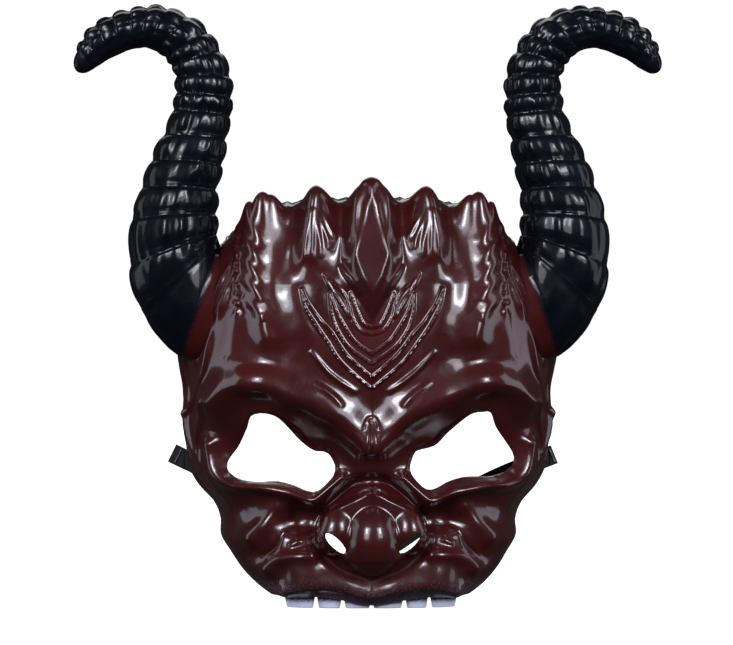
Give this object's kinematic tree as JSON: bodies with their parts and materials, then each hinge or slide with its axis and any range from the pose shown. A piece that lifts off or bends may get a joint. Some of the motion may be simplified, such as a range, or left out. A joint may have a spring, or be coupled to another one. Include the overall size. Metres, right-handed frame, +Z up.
{
  "type": "mexican folk art mask",
  "caption": "Horned demon half mask: moulded face shell, hollow ringed horns, tooth insert and an elastic strap that swings.",
  "frame": {"origin": "on the symmetry plane at the level of the pupils, in the upright plane of the two strap slots", "axes": "+Z up through the crest, -Y the way the face looks, +Y into the mask towards the wearer, +X the viewer's right when facing the mask"},
  "size_m": [0.275, 0.09, 0.2773],
  "materials": {
    "maroon_plastic": "glossy dark maroon paint over black plastic",
    "black_plastic": "glossy blue-black",
    "tooth_plastic": "bluish white paint with a dark overspray at the gum",
    "black_elastic": "flat knitted elastic",
    "steel_wire": "plain staple wire"
  },
  "bodies": {
    "mask": {"face_shell": "maroon_plastic", "horn_left_front": "black_plastic", "horn_left_rear": "black_plastic", "horn_right_front": "black_plastic", "horn_right_rear": "black_plastic", "upper_teeth": "tooth_plastic", "strap_end_left": "black_elastic", "strap_end_right": "black_elastic", "staple_left": "steel_wire", "staple_right": "steel_wire"},
    "strap": {"elastic_strap": "black_elastic"}
  },
  "joints": [
    {"name": "strap_swing", "type": "hinge", "parent": "mask", "child": "strap", "pos_m": [0, 0, -0.004], "axis": [1, 0, 0], "range_deg": [-20, 100]}
  ]
}
